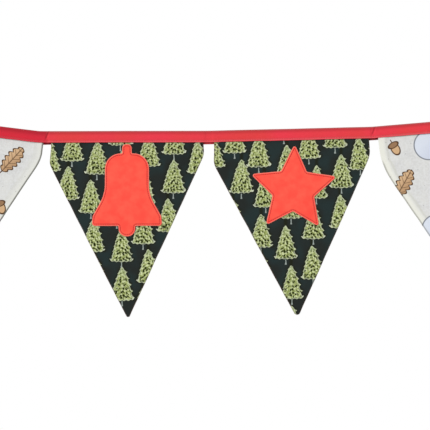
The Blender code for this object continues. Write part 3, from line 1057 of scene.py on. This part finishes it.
for pennant_name, white_print in WHITE_PRINTS.items():
    sewn_pennant(pennant_name, off_white_cotton(pennant_name, white_print), "white_cotton")


# The patches: a bell and a star cut from red cotton with raw edges, each sewn to the front of
# its pennant by one line of darker stitches just inside the edge.

PATCH_THICKNESS, PATCH_GAP = mm(0.9, 0.06)
STITCH_IN = 2.0 * MM  # from the cut edge
PATCH_STITCH_PROUD = 0.16 * MM
PATCH_GROOVE, PATCH_PUFF = mm(0.42, 0.25)  # pressed in by the stitches, and raised inside them
CUT_STEP, PATCH_STEP = mm(0.9, 1.7)
EDGE_RINGS = mm(0.15, 0.4, 0.8, 1.3, 1.7, 2.05, 2.4, 2.9, 3.7)
PATCH_STITCH = dict(zip(STITCH_SIZES, mm(1.9, 0.6, 0.46, 0.26)))
FRAY_SIZES = {"Spacing": 0.8 * MM, "Fibre length": 1.1 * MM, "Fibre width": 0.14 * MM}
BELL_AREA, STAR_AREA = 0.0050, 0.0038  # of cloth, in square metres

Corner = namedtuple("Corner", "side depth radius")
HALF_BELL = (  # its right half, from the top down
    Corner(*mm(5.5, 2, 4.5)),
    Corner(*mm(5.5, 12.5, 1.2)),
    Corner(*mm(25, 12.5, 17.5)),
    Corner(*mm(25, 59, 45)),
    Corner(*mm(39, 84, 4)),
    Corner(*mm(40, 95, 3.5)),
    Corner(*mm(9.5, 95, 1.2)),
    Corner(*mm(9.5, 107, 9)),
)
STAR_POINTS = 5
STAR_CENTRE = Point(*mm(0.5, 56.0))
STAR_OUTER, STAR_INNER = mm(52.0, 25.0)
STAR_TURN = math.radians(3.0)
STAR_TIP_RADIUS, STAR_NOTCH_RADIUS = mm(2.2, 3.0)


def bell_corners():
    return [*HALF_BELL, *(Corner(-c.side, c.depth, c.radius) for c in reversed(HALF_BELL))]


def star_corners():
    corners = []
    for i in range(2 * STAR_POINTS):
        outer = i % 2 == 0
        reach = STAR_OUTER if outer else STAR_INNER
        angle = STAR_TURN + math.pi * i / STAR_POINTS
        side = STAR_CENTRE.side + reach * math.sin(angle)
        depth = STAR_CENTRE.depth - reach * math.cos(angle)
        corners.append(Corner(side, depth, STAR_TIP_RADIUS if outer else STAR_NOTCH_RADIUS))
    return corners


def cut_line(corners):
    """An outline through these corners, each rounded, as points CUT_STEP apart."""
    turns = []
    for i, corner in enumerate(corners):
        here = Vector((corner.side, corner.depth))
        before, after = corners[i - 1], corners[(i + 1) % len(corners)]
        back = (Vector((before.side, before.depth)) - here).normalized()
        on = (Vector((after.side, after.depth)) - here).normalized()
        half = back.angle(on) / 2
        centre = here + (back + on).normalized() * corner.radius / math.sin(half)
        start = here + back * corner.radius / math.tan(half) - centre
        turn = start.angle_signed(here + on * corner.radius / math.tan(half) - centre)
        steps = max(2, math.ceil(abs(turn) * corner.radius / CUT_STEP))
        turns += [centre + Matrix.Rotation(-turn * k / steps, 2) @ start for k in range(steps + 1)]
    points = []
    for here, on in zip(turns, turns[1:] + turns[:1]):
        count = max(1, round((on - here).length / CUT_STEP))
        points += [here.lerp(on, i / count) for i in range(count)]
    return points


def inward(points):
    """The direction into the outline at each of its points."""
    ways = []
    for i in range(len(points)):
        run = points[(i + 1) % len(points)] - points[i - 1]
        ways.append(Vector((-run.y, run.x)).normalized())
    return ways


def distance_from(points):
    """A measure of how far any place is from the nearest of these points."""
    tree = kdtree.KDTree(len(points))
    for i, point in enumerate(points):
        tree.insert((*point, 0), i)
    tree.balance()
    return lambda place: tree.find((*place, 0))[2]


def inner_ring(cut, off_cut, distance):
    """The cut line moved inwards, without the points that end up nearer to another side."""
    moved = [point + way * distance for point, way in zip(cut, inward(cut))]
    return [point for point in moved if off_cut(point) > 0.93 * distance]


def patch_back(carrier, side, depth):
    """How far forward the back of a patch lies, on the front of its pennant."""
    return cloth_forward(carrier, side, depth) + half_thickness(carrier, side, depth) + PATCH_GAP


def patch_front(carrier, side, depth, inside):
    """How far the front of a patch stands forward, this far inside its cut edge."""
    turn = min(inside / (0.7 * MM), 1)
    thick = PATCH_THICKNESS * (0.45 + 0.55 * math.sqrt(1 - (1 - turn) ** 2))
    thick -= PATCH_GROOVE * close_to(inside - STITCH_IN, 0.55 * MM)
    thick += PATCH_PUFF * smooth(STITCH_IN, 8 * MM, inside)
    thick += 0.22 * MM * ripple(11 * MM, 41, side, depth) * smooth(0, STITCH_IN, inside)
    return patch_back(carrier, side, depth) + thick


def make_patch(name, cut, carrier, material):
    bm = bmesh.new()
    cloth = bm.loops.layers.uv.new("cloth")
    from_cut = bm.verts.layers.float.new("from_edge")
    off_cut = distance_from(cut)
    frayed = [p + w * 0.18 * MM * ripple(3 * MM, 47, *p) for p, w in zip(cut, inward(cut))]
    points = list(frayed)
    for distance in EDGE_RINGS:
        points += inner_ring(cut, off_cut, distance)
    low = Vector((min(p.x for p in cut), min(p.y for p in cut)))
    high = Vector((max(p.x for p in cut), max(p.y for p in cut)))
    for row in range(math.ceil((high.y - low.y) / PATCH_STEP)):
        for column in range(math.ceil((high.x - low.x) / PATCH_STEP)):
            point = low + Vector((column + row % 2 / 2, row)) * PATCH_STEP
            if off_cut(point) > EDGE_RINGS[-1] + PATCH_STEP / 2:
                points.append(point)
    ring = [list(range(len(frayed)))]
    points, _, triangles, *_ = delaunay_2d_cdt(points, [], ring, 1, 1e-7)
    used = sorted({i for triangle in triangles for i in triangle})
    distances = {i: off_cut(points[i]) if i >= len(frayed) else 0.0 for i in used}
    for face in (1, -1):
        verts = {}
        for i in used:
            side, depth = points[i]
            forward = patch_front(carrier, side, depth, distances[i])
            if face < 0 and i >= len(frayed):
                forward = patch_back(carrier, side, depth)
            verts[i] = bm.verts.new(in_place(carrier, side, forward, depth))
            verts[i][from_cut] = distances[i]
        for triangle in triangles:
            made = bm.faces.new([verts[i] for i in triangle[::face]])
            for loop, i in zip(made.loops, triangle[::face]):
                loop[cloth].uv = points[i] if face > 0 else points[i] + Vector((0.2, 0))
    bmesh.ops.remove_doubles(bm, verts=bm.verts, dist=1e-7)
    bmesh.ops.recalc_face_normals(bm, faces=bm.faces)
    return piece_object(name, bm, material)


def patch_sewing(cut, carrier):
    """The ring of points just inside a patch's edge, in the groove that its stitches press."""
    ring = inner_ring(cut, distance_from(cut), STITCH_IN)
    out = Vector((0, -1, 0))
    places = [in_place(carrier, p.x, patch_front(carrier, *p, STITCH_IN), p.y) for p in ring]
    return [(place + out * PATCH_STITCH_PROUD, out) for place in places]


def patch_edge(cut, carrier):
    """The cut edge of a patch at half its thickness, with the way that its threads fray."""
    line = []
    for point, way in zip(cut, inward(cut)):
        forward = patch_front(carrier, *point, 0) - 0.2 * MM
        place = in_place(carrier, point.x, forward, point.y)
        inner = in_place(carrier, point.x + way.x * MM, forward, point.y + way.y * MM)
        line.append((place, (place - inner).normalized()))
    return line


def fray_nodes():
    """Scatters loose thread ends along cut edges, pointing outwards and a little astray."""
    tree, given = new_nodes("frayed edge", "Cut edges", FRAY_SIZES)
    _, spacing, length, width, thread = given.values()
    on = new_signal(tree, "GeometryNodeSplineParameter", "Factor")
    bend = on * on * length * 0.25
    fibre = thread_piece(tree, length * -0.3, length, bend, width, 1.0 - on * 0.6, 4, 3)
    out = {"Vector": outward_of(tree)}
    out = add_node(tree, "FunctionNodeAlignRotationToVector", out, axis="X")
    astray = {0: (-3.0, -0.2, -0.9), 1: (3.0, 0.5, 0.9), "Seed": 23}
    astray = add_node(tree, "FunctionNodeRandomValue", astray, data_type="FLOAT_VECTOR")
    astray = add_node(tree, "FunctionNodeEulerToRotation", {"Euler": astray})
    turn = {"Rotation": out, "Rotate By": astray}
    turn = add_node(tree, "FunctionNodeRotateRotation", turn, rotation_space="LOCAL")
    uneven = {2: 0.35, 3: 1.1, "Seed": 29}
    return lay_along(tree, given["Cut edges"], spacing, fibre, turn, uneven, thread)


def patch_cotton():
    material, across, down = new_cotton("red patch cotton", 0.8, 0.15, 0.2)
    cloud = mottle(place_on(across, down), 0.09, 3.0)
    inside = in_from_edge(material.node_tree)
    sewn = abs(inside - STITCH_IN / MM).ramp(1.0, 0.2)
    red = coated(
        blend(cloud.ramp(0.3, 0.7), (247, 76, 62), (252, 90, 72)),
        (inside.ramp(1.1, 0.2) * 0.75, (240, 140, 122)),  # a painted highlight along the raw edge, where it lifts and catches the light
        (sewn * 0.5, (214, 52, 48)),  # painted shade in the groove that the stitches press
    )
    height = weave(across, down, 0.5) * 0.05 + cloud * 0.1
    return finish_cotton(material, red, height, 0.5)


red_patch = patch_cotton()
Patch = namedtuple("Patch", "cut carrier area")
PATCHES = {
    "patch_bell": Patch(cut_line(bell_corners()), "pennant_print_left", BELL_AREA),
    "patch_star": Patch(cut_line(star_corners()), "pennant_print_right", STAR_AREA),
}
for patch_name, (cut, carrier, area) in PATCHES.items():
    patch = make_patch(patch_name + "_cloth", cut, carrier, red_patch)
    dress(patch, "red_patch_cotton", patch_name)

patch_stitching = made_along(
    "patch_stitching",
    [(patch_sewing(cut, carrier), True) for cut, carrier, _ in PATCHES.values()],
    STITCHES,
    PATCH_STITCH,
    sewing_thread("red patch thread", (206, 52, 46), (140, 22, 24)),
)
dress(patch_stitching, "red_patch_cotton")

patch_fraying = made_along(
    "patch_fraying",
    [(patch_edge(cut, carrier), True) for cut, carrier, _ in PATCHES.values()],
    fray_nodes(),
    FRAY_SIZES,
    sewing_thread("frayed red thread", (244, 150, 134), (226, 100, 88)),
)
dress(patch_fraying, "red_patch_cotton")
